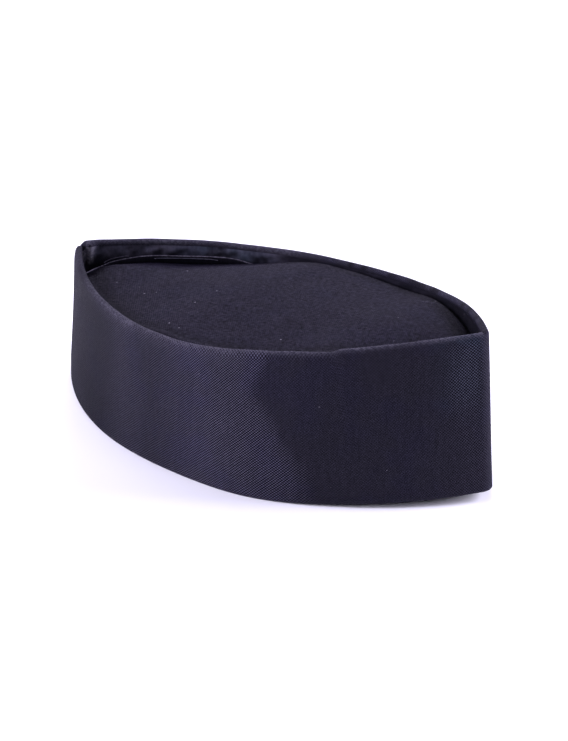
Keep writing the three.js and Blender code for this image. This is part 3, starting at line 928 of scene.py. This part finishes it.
# The crown's near edge carries a little rubbing, and painted shade darkens the crown on and
# beside its turned edge
CROWN_EDGE_WEAR = 0.3
CROWN_SHADE_ROWS = (0, 9)


def crown_crease(x, y):
    """How far the crease stands above the crown."""
    start, end = np.array(CROWN_CREASE_START), np.array(CROWN_CREASE_END)
    way = end - start
    along = ((x - start[0]) * way[0] + (y - start[1]) * way[1]) / (way @ way)
    inside = np.clip(along, 0, 1)
    away = np.hypot(x - start[0] - inside * way[0], y - start[1] - inside * way[1])
    return CROWN_CREASE_HEIGHT * bell(away, CROWN_CREASE_REACH)


def crown():
    """Domed panel with its edge turned down and a soft ridge along the middle line."""
    groove = ramp(walks, *GROOVE_STARTS) * (1 - ramp(walks, *GROOVE_ENDS))
    reach = FRONT_REACH * ramp(walks, *REACH_STARTS) * (1 - ramp(walks, *REACH_ENDS))

    def ring_at(inwards, drop):
        level = round_ring(
            CROWN_INSET + inwards,
            crown_edge_height(rim_plan[:, 0]),
            lambda share: CROWN_TIP_RADIUS - inwards,
        )
        level = level - outward(1) * (GROOVE_WIDTH * groove - reach)[:, None]
        return np.column_stack([level, crown_edge_height(level[:, 0]) - drop - GROOVE_DROP * groove])

    turned = []
    for step in range(TURN_STEPS):
        turn = math.pi / 2 * step / TURN_STEPS
        inwards = CROWN_EDGE_WIDTH * (1 - math.cos(turn))
        turned.append(ring_at(inwards, CROWN_TURN * (1 - math.sin(turn))))
    shoulder = ring_at(CROWN_EDGE_WIDTH, 0)
    far, near = shoulder[: HALF_STEPS + 1], shoulder[HALF_STEPS:]
    near = np.concatenate([near, shoulder[:1]])

    def height_over(points):
        """Height of the crown's upper face over level points inside its shoulder."""
        x, y = points[:, 0], points[:, 1]
        far_half = np.interp(x, far[:, 0], far[:, 1])
        near_half = np.interp(x, near[::-1, 0], -near[::-1, 1])
        half = np.maximum(np.where(y < 0, near_half, far_half), 1e-3)
        across = np.clip(np.abs(y) / half, 0, 1)
        along = np.clip(np.abs(x) / (RIM_LENGTH / 2), 0, 1)
        dome = CROWN_DOME * np.sqrt(1 - along**2)
        swell = np.sin(x / SWELL_ALONG + np.sin(y / SWELL_BEND)) * (1 - across**2)
        swell = swell * np.sin(y / SWELL_ACROSS + SWELL_SHIFT)
        rise = dome * (1 - across**RIDGE_EXPONENT) + CROWN_SWELL * swell + crown_crease(x, y)
        return crown_edge_height(x) + rise

    top = [*turned, shoulder]
    for row in range(1, CROWN_RINGS):
        share = 1 - row / CROWN_RINGS
        ring = shoulder * np.array([share, share, 0])
        ring[:, 2] = height_over(ring) - GROOVE_DROP * groove * ramp(share, *GROOVE_SHARES)
        top.append(ring)
    under = [ring_at(0, CROWN_UNDERSIDE)]
    under += [ring - np.array([0, 0, CROWN_WALL]) for ring in top[TURN_STEPS::UNDERSIDE_EVERY]]
    peak = np.array([[0, 0, height_over(np.zeros((1, 3)))[0]]])
    hollow = peak - np.array([[0, 0, CROWN_WALL]])
    piece = closed_mesh("crown_panel", under[::-1] + top, np.concatenate([hollow, peak]))

    first_top, shoulder_ring = len(under), len(under) + TURN_STEPS
    edge = np.zeros((len(under) + len(top), STATIONS))
    edge[first_top + TURN_STEPS // 2:shoulder_ring + 1] = CROWN_EDGE_WEAR * ~on_far_side
    # The crease carries a painted highlight
    creased = np.array([crown_crease(ring[:, 0], ring[:, 1]) for ring in top]) / CROWN_CREASE_HEIGHT
    edge[first_top:] = np.maximum(edge[first_top:], CROWN_CREASE_HIGHLIGHT * creased)
    mark(piece, "edge", edge)
    # Painted shade darkens the crown on and beside its turned edge
    rows_inwards = np.arange(len(edge)) - shoulder_ring
    mark(piece, "painted_light", np.broadcast_to(ramp(rows_inwards, *CROWN_SHADE_ROWS)[:, None], edge.shape))
    return piece


def socketed_group(name, inputs, outputs):
    """An empty shader node group with named inputs and outputs."""
    group = bpy.data.node_groups.new(name, "ShaderNodeTree")
    for label, kind, value in inputs:
        socket = group.interface.new_socket(label, in_out="INPUT", socket_type=kind)
        if value is not None:
            socket.default_value = value
    for label, kind in outputs:
        group.interface.new_socket(label, in_out="OUTPUT", socket_type=kind)
    return group, group.nodes.new("NodeGroupInput").outputs, group.nodes.new("NodeGroupOutput").inputs


def calc(tree, operation, a, b=0.0, c=0.0):
    """One step of arithmetic on numbers or sockets."""
    return put(tree, "ShaderNodeMath", {0: a, 1: b, 2: c}, operation=operation).outputs[0]


def scaled(tree, vector, factor):
    """A vector or colour times a number."""
    inputs = {0: vector, "Scale": factor}
    return put(tree, "ShaderNodeVectorMath", inputs, operation="SCALE").outputs[0]


def mixed(tree, share, first, second):
    """One colour turned into another by a share."""
    return put(tree, "ShaderNodeMix", {0: share, 6: first, 7: second}, data_type="RGBA").outputs[2]


NOISE_ROUGHNESS = 0.55


def noise(tree, place, cell, detail=2.0):
    """Soft noise from 0 to 1 with cells of a size in metres."""
    inputs = {"Vector": place, "Scale": 1 / cell, "Detail": detail, "Roughness": NOISE_ROUGHNESS}
    return put(tree, "ShaderNodeTexNoise", inputs).outputs[0]


def spread(tree, value, low_edge, high_edge, low_value=0.0, high_value=1.0):
    """A value's soft way from one edge to another, as a way between two values."""
    inputs = {0: value, 1: low_edge, 2: high_edge, 3: low_value, 4: high_value}
    return put(tree, "ShaderNodeMapRange", inputs, interpolation_type="SMOOTHSTEP").outputs[0]


# Sizes of the cloth's unevenness, in metres
THREAD_WANDER = 0.012
DYE_PATCH = 0.035
HUE_PATCH = 0.022
NAP_GRAIN = 0.0016
THREAD_WIDTH = 0.0015
WEAR_AND_HIGHLIGHT_GRAIN = 0.0013
RELIEF_DEPTH = 0.0004
# How the noise of a drawn thread is squeezed along each axis, which draws it out upwards
THREAD_DRAW = (1, 1, 0.06)
# Noise values between which rubbing with painted highlight, and the second dye, come in
WEAR_AND_HIGHLIGHT_EDGES = (0.38, 0.66)
HUE_EDGES = (0.42, 0.66)
LEAST_WEAR_AND_HIGHLIGHT = 0.35
# How wide noise swings the tone, as a multiple of each strength, and the least that tone and
# ribs leave of the cloth's colour
NOISE_SWING = 4.0
LEAST_TONE = 0.1
LEAST_RIB = 0.05
# The soft edge of a speck of lint, as a share of its size, and how much rougher the cloth gets
# as its tone darkens
LINT_SOFTNESS = 0.6
DULLING = 0.12


def twill_group():
    """Two crossing diagonal ribs, with slightly uneven threads."""
    group, given, result = socketed_group(
        "twill_weave",
        [
            ("Place", "NodeSocketVector", None),
            ("Rib Across", "NodeSocketFloat", 0.0016),
            ("Rib Up", "NodeSocketFloat", 0.0012),
            ("Cross Share", "NodeSocketFloat", 0.5),
            ("Unevenness", "NodeSocketFloat", 0.9),
        ],
        [("Rib", "NodeSocketFloat")],
    )
    axes = put(group, "ShaderNodeSeparateXYZ", {0: given["Place"]}).outputs
    wander = calc(group, "MULTIPLY", noise(group, given["Place"], THREAD_WANDER), given["Unevenness"])
    across = calc(group, "ADD", calc(group, "DIVIDE", axes[0], given["Rib Across"]), wander)
    up = calc(group, "DIVIDE", axes[1], given["Rib Up"])
    turn = 2 * math.pi
    rising = calc(group, "SINE", calc(group, "MULTIPLY", calc(group, "ADD", across, up), turn))
    falling = calc(group, "SINE", calc(group, "MULTIPLY", calc(group, "SUBTRACT", across, up), turn))
    cross = calc(group, "MULTIPLY", falling, given["Cross Share"])
    main = calc(group, "MULTIPLY", rising, calc(group, "SUBTRACT", 1.0, given["Cross Share"]))
    group.links.new(calc(group, "ADD", main, cross), result["Rib"])
    return group


def tone_group():
    """Uneven dye and pile: wide soft patches, fine mottling and threads."""
    group, given, result = socketed_group(
        "cloth_tone",
        [
            ("Place", "NodeSocketVector", None),
            ("Patches", "NodeSocketFloat", 0.12),
            ("Mottling", "NodeSocketFloat", 0.15),
            ("Threads", "NodeSocketFloat", 0.1),
        ],
        [("Tone", "NodeSocketFloat")],
    )

    def swing(value, amount):
        """A noise value as a swing round 0, at most twice the amount either way."""
        strength = calc(group, "MULTIPLY", amount, NOISE_SWING)
        return calc(group, "MULTIPLY", calc(group, "SUBTRACT", value, 0.5), strength)

    wide = swing(noise(group, given["Place"], DYE_PATCH), given["Patches"])
    fine = swing(noise(group, given["Place"], NAP_GRAIN, 1.0), given["Mottling"])
    squeeze = {0: given["Place"], 1: THREAD_DRAW}
    drawn = put(group, "ShaderNodeVectorMath", squeeze, operation="MULTIPLY").outputs[0]
    thread = swing(noise(group, drawn, THREAD_WIDTH, 1.0), given["Threads"])
    total = calc(group, "ADD", calc(group, "ADD", wide, fine), calc(group, "ADD", thread, 1.0))
    group.links.new(calc(group, "MAXIMUM", total, LEAST_TONE), result["Tone"])
    return group


def wear_and_highlight_group():
    """Rubbing and painted highlight along an edge: broken up by noise, strongest where the edge
    mark is 1.
    """
    group, given, result = socketed_group(
        "edge_wear_and_highlight",
        [
            ("Place", "NodeSocketVector", None),
            ("Edge", "NodeSocketFloat", 0.0),
            ("Amount", "NodeSocketFloat", 0.5),
        ],
        [("Wear And Highlight", "NodeSocketFloat")],
    )
    grain = noise(group, given["Place"], WEAR_AND_HIGHLIGHT_GRAIN)
    broken = spread(group, grain, *WEAR_AND_HIGHLIGHT_EDGES, LEAST_WEAR_AND_HIGHLIGHT, 1.0)
    strength = calc(group, "MULTIPLY", given["Edge"], given["Amount"])
    group.links.new(calc(group, "MULTIPLY", broken, strength), result["Wear And Highlight"])
    return group


def lint_group():
    """A few small pale specks of lint, far apart."""
    group, given, result = socketed_group(
        "lint_specks",
        [
            ("Place", "NodeSocketVector", None),
            ("Spacing", "NodeSocketFloat", 0.0095),
            ("Size", "NodeSocketFloat", 0.0004),
        ],
        [("Lint", "NodeSocketFloat")],
    )
    cells = put(group, "ShaderNodeTexVoronoi", {"Vector": given["Place"]})
    group.links.new(calc(group, "DIVIDE", 1.0, given["Spacing"]), cells.inputs["Scale"])
    away = calc(group, "MULTIPLY", cells.outputs["Distance"], given["Spacing"])
    inside = calc(group, "SUBTRACT", 1.0, calc(group, "DIVIDE", away, given["Size"]))
    group.links.new(spread(group, inside, 0.0, LINT_SOFTNESS), result["Lint"])
    return group


TWILL = twill_group()
TONE = tone_group()
WEAR_AND_HIGHLIGHT_GROUP = wear_and_highlight_group()
LINT = lint_group()

# Pale colour of rubbing and of painted highlights along edges
WEAR_AND_HIGHLIGHT_TONE = (0.072, 0.067, 0.088, 1)
LINT_COLOUR = (0.16, 0.15, 0.18, 1)
# Colour of the painted teal sheen
TEAL_SHEEN = (0.024, 0.040, 0.056, 1)
GLOSS_TINT = (0.67, 0.58, 1.0, 1)
# How strongly the painted sheen shows on the first and on the second dye
SHEEN_BY_HUE = (0.3, 0.9)


def cloth_material(
    name, colours, roughness, gloss, rib, weave, painted_lightness, tone, wear_and_highlight, lint, relief,
    on_uv=True, wear_and_highlight_to=WEAR_AND_HIGHLIGHT_TONE,
):
    """A woven cloth. rib is the weave's pitch across and up. weave is how far its ribs change the
    shade and painted_lightness its lightness, each where the painted light mark is 0 and where
    it is 1, which paints light and shade. tone is the strength of patches, mottling and threads.
    wear_and_highlight is the strength of rubbing and painted highlights along edges and
    wear_and_highlight_to their colour, lint is the size of its specks, and relief is the strength
    of its bump. The weave runs round the cap on_uv, and along its axes otherwise."""
    material = bpy.data.materials.new(name)
    material.use_nodes = True
    tree = material.node_tree
    shader = tree.nodes["Principled BSDF"]
    place = put(tree, "ShaderNodeTexCoord").outputs["Object"]
    cloth_place = put(tree, "ShaderNodeUVMap", uv_map="cloth").outputs[0] if on_uv else place

    def marked(label):
        return put(tree, "ShaderNodeAttribute", attribute_name=label).outputs["Fac"]

    def grouped(group, inputs):
        return put(tree, "ShaderNodeGroup", inputs, node_tree=group).outputs[0]

    painted_light, edge, dark, sheen = (marked(label) for label in ("painted_light", "edge", "shade", "sheen"))
    ribs = grouped(TWILL, {"Place": cloth_place, "Rib Across": rib[0], "Rib Up": rib[1]})
    patches, mottling, threads = tone
    strengths = {"Patches": patches, "Mottling": mottling, "Threads": threads}
    mottle = grouped(TONE, {"Place": place, **strengths})
    wear_and_highlight_share = grouped(WEAR_AND_HIGHLIGHT_GROUP, {"Place": place, "Edge": edge, "Amount": wear_and_highlight})
    specks = grouped(LINT, {"Place": place, "Size": lint})

    # The painted light mark deepens the ribs and sets the lightness, and the shade mark takes painted
    # shade off it: both paint light and shade into the colour
    rib_depth = spread(tree, painted_light, 0.0, 1.0, *weave)
    ribbed = calc(tree, "MAXIMUM", calc(tree, "MULTIPLY_ADD", ribs, rib_depth, 1.0), LEAST_RIB)
    undarkened = calc(tree, "SUBTRACT", 1.0, dark)
    lightness = calc(tree, "MULTIPLY", spread(tree, painted_light, 0.0, 1.0, *painted_lightness), undarkened)
    shade = calc(tree, "MULTIPLY", ribbed, calc(tree, "MULTIPLY", mottle, lightness))

    hue = spread(tree, noise(tree, place, HUE_PATCH), *HUE_EDGES)
    dye_and_sheen = mixed(tree, hue, (*colours[0], 1), (*colours[1], 1))
    # The sheen mark turns the colour teal: a painted sheen
    teal = calc(tree, "MULTIPLY", sheen, spread(tree, hue, 0.0, 1.0, *SHEEN_BY_HUE))
    dye_and_sheen = mixed(tree, teal, dye_and_sheen, TEAL_SHEEN)
    # Edges turn towards a pale colour: rubbing and painted highlights
    with_wear_and_highlight = mixed(tree, wear_and_highlight_share, scaled(tree, dye_and_sheen, shade), wear_and_highlight_to)
    tree.links.new(mixed(tree, specks, with_wear_and_highlight, LINT_COLOUR), shader.inputs["Base Color"])

    dull = calc(tree, "MULTIPLY_ADD", mottle, -DULLING, roughness + DULLING)
    tree.links.new(dull, shader.inputs["Roughness"])
    bump = {"Strength": relief, "Distance": RELIEF_DEPTH, "Height": calc(tree, "ADD", ribs, mottle)}
    tree.links.new(put(tree, "ShaderNodeBump", bump).outputs[0], shader.inputs["Normal"])
    shader.inputs["Specular IOR Level"].default_value = gloss
    shader.inputs["Specular Tint"].default_value = GLOSS_TINT
    return material


# Where its painted light mark is 1 its ribs show much deeper and it is lighter: a painted highlight
twill = cloth_material(
    "black_twill",
    colours=((0.0190, 0.0178, 0.0258), (0.0181, 0.0169, 0.0280)),
    roughness=0.72, gloss=0.063, rib=(0.00145, 0.00122), weave=(0.35, 4.8), painted_lightness=(0.82, 0.96),
    tone=(0.06, 0.14, 0.08), wear_and_highlight=0.75, lint=0.00028, relief=0.6,
)
inner_twill = cloth_material(
    "inner_twill",
    colours=((0.0150, 0.0140, 0.0215), (0.0145, 0.0140, 0.0225)),
    roughness=0.75, gloss=0.05, rib=(0.00145, 0.00122), weave=(0.3, 0.5), painted_lightness=(1.0, 1.0),
    tone=(0.06, 0.12, 0.08), wear_and_highlight=0.3, lint=0.0003, relief=0.35,
)
# The top of the welt's fold turns a paler colour: a painted highlight
welt_twill = cloth_material(
    "welt_twill",
    colours=((0.0070, 0.0065, 0.0095), (0.0065, 0.0065, 0.0098)),
    roughness=0.7, gloss=0.04, rib=(0.0011, 0.0011), weave=(0.2, 0.3), painted_lightness=(1.0, 1.0),
    tone=(0.05, 0.15, 0.1), wear_and_highlight=0.9, lint=0.0003, relief=0.2, on_uv=False,
    wear_and_highlight_to=(0.11, 0.10, 0.13, 1),
)
# Twice as light as the band's twill: a painted highlight along the thin plies
ply_twill = cloth_material(
    "ply_twill",
    colours=((0.0400, 0.0370, 0.0500), (0.0380, 0.0370, 0.0510)),
    roughness=0.7, gloss=0.1, rib=(0.0011, 0.0011), weave=(0.2, 0.3), painted_lightness=(1.0, 1.0),
    tone=(0.1, 0.25, 0.1), wear_and_highlight=0.0, lint=0.0003, relief=0.2, on_uv=False,
)
# Its painted light mark sets its lightness from 0.12 in painted shade to 3.0 in painted light, and its
# edge marks turn it pale: painted highlights
satin = cloth_material(
    "black_satin",
    colours=((0.0290, 0.0270, 0.0370), (0.0190, 0.0195, 0.0285)),
    roughness=0.45, gloss=0.13, rib=(0.0005, 0.0006), weave=(0.1, 0.15), painted_lightness=(0.12, 3.0),
    tone=(0.25, 0.2, 0.1), wear_and_highlight=0.9, lint=0.0003, relief=0.1, wear_and_highlight_to=(0.22, 0.21, 0.24, 1),
)
# Painted shade darkens it to 0.6 by its turned edge, and its crease carries a painted highlight
matt = cloth_material(
    "crown_twill",
    colours=((0.0061, 0.0051, 0.0099), (0.0057, 0.0050, 0.0105)),
    roughness=0.78, gloss=0.061, rib=(0.0012, 0.0012), weave=(0.35, 0.55), painted_lightness=(0.6, 1.0),
    tone=(0.12, 0.6, 0.3), wear_and_highlight=0.35, lint=0.0006, relief=0.42, on_uv=False,
)

band, facing, wall, welt, panel = side_band(), band_facing(), inner_side(), crown_welt(), crown()
ply = seam_plies(ply_twill)
pieces = [
    (band, "side_band", "shell_twill", twill),
    (facing, "band_facing", "facing_satin", satin),
    (wall, "inner_side", "inner_twill", inner_twill),
    (welt, "crown_welt", "welt_twill", welt_twill),
    (ply, "crown_welt", "welt_twill", ply_twill),
    (panel, "crown", "crown_twill", matt),
]
for piece, node, slot, material in pieces:
    if not piece.data.materials:
        piece.data.materials.append(material)
    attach(piece, "root")
    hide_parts(node)


# The camera, at the photograph's angle. Its lens follows from the picture's height and from the
# focal length in pixels.
IMAGE_HEIGHT = 741
FOCAL_PIXELS = 1964
SENSOR = 36.0
CAMERA_AZIMUTH = 38.39
CAMERA_ELEVATION = 22.95
CAMERA_DISTANCE = 0.928
CAMERA_TARGET = Vector((0.010295, 0.000722, 0.0315))


def add_camera():
    azimuth, elevation = math.radians(CAMERA_AZIMUTH), math.radians(CAMERA_ELEVATION)
    back = Vector((
        math.sin(azimuth) * math.cos(elevation),
        -math.cos(azimuth) * math.cos(elevation),
        math.sin(elevation),
    ))
    data = bpy.data.cameras.new("camera")
    data.sensor_width = SENSOR
    data.lens = FOCAL_PIXELS / IMAGE_HEIGHT * SENSOR
    camera = bpy.data.objects.new("camera", data)
    camera.location = CAMERA_TARGET + back * CAMERA_DISTANCE
    camera.rotation_euler = (-back).to_track_quat("-Z", "Y").to_euler()
    bpy.context.scene.collection.objects.link(camera)
    bpy.context.scene.camera = camera


FLOOR_HALF = 4.0
FLOOR_COLOUR = (0.86, 0.86, 0.86, 1)
FLOOR_ROUGHNESS = 0.9


def add_floor():
    half = FLOOR_HALF
    mesh = bpy.data.meshes.new("floor")
    corners = [(-half, -half, 0), (half, -half, 0), (half, half, 0), (-half, half, 0)]
    mesh.from_pydata(corners, [], [(0, 1, 2, 3)])
    floor = bpy.data.objects.new("floor", mesh)
    bpy.context.scene.collection.objects.link(floor)
    material = bpy.data.materials.new("floor_paper")
    material.use_nodes = True
    shader = material.node_tree.nodes["Principled BSDF"]
    shader.inputs["Base Color"].default_value = FLOOR_COLOUR
    shader.inputs["Roughness"].default_value = FLOOR_ROUGHNESS
    mesh.materials.append(material)


# Soft boxes round the cap: place and size in metres, power in watts
LIGHT_TINT = (1.0, 0.965, 1.2)
SOFTBOXES = [
    {"name": "left", "place": (-1.0, -0.8, 0.5), "size": 0.8, "power": 33.0},
    {"name": "left_back", "place": (-1.3, 0.5, 0.8), "size": 0.8, "power": 7.2},
    {"name": "back", "place": (-0.8, 1.2, 0.9), "size": 0.8, "power": 15.6},
    {"name": "right", "place": (0.9, 0.9, 0.6), "size": 0.8, "power": 36.8},
    {"name": "right_front", "place": (1.3, -0.1, 0.5), "size": 0.6, "power": 1.8},
    {"name": "front", "place": (0.75, -0.95, 0.9), "size": 0.6, "power": 3.6},
    {"name": "top", "place": (-0.1, -0.1, 1.5), "size": 1.0, "power": 5.0},
]
LIGHT_AIM = Vector((0, 0, 0.03))
WORLD_STRENGTH = 0.03


def add_softbox(name, place, size, power):
    data = bpy.data.lights.new(name, "AREA")
    data.shape = "SQUARE"
    data.size = size
    data.energy = power
    data.color = LIGHT_TINT
    box = bpy.data.objects.new(name, data)
    box.location = place
    box.rotation_euler = (LIGHT_AIM - Vector(place)).to_track_quat("-Z", "Y").to_euler()
    bpy.context.scene.collection.objects.link(box)


def add_world():
    world = bpy.data.worlds.new("studio")
    world.use_nodes = True
    background = world.node_tree.nodes["Background"]
    background.inputs["Color"].default_value = (1, 1, 1, 1)
    background.inputs["Strength"].default_value = WORLD_STRENGTH
    bpy.context.scene.world = world


add_camera()
add_floor()
for softbox in SOFTBOXES:
    add_softbox(**softbox)
add_world()
bpy.context.scene.view_settings.view_transform = "Standard"
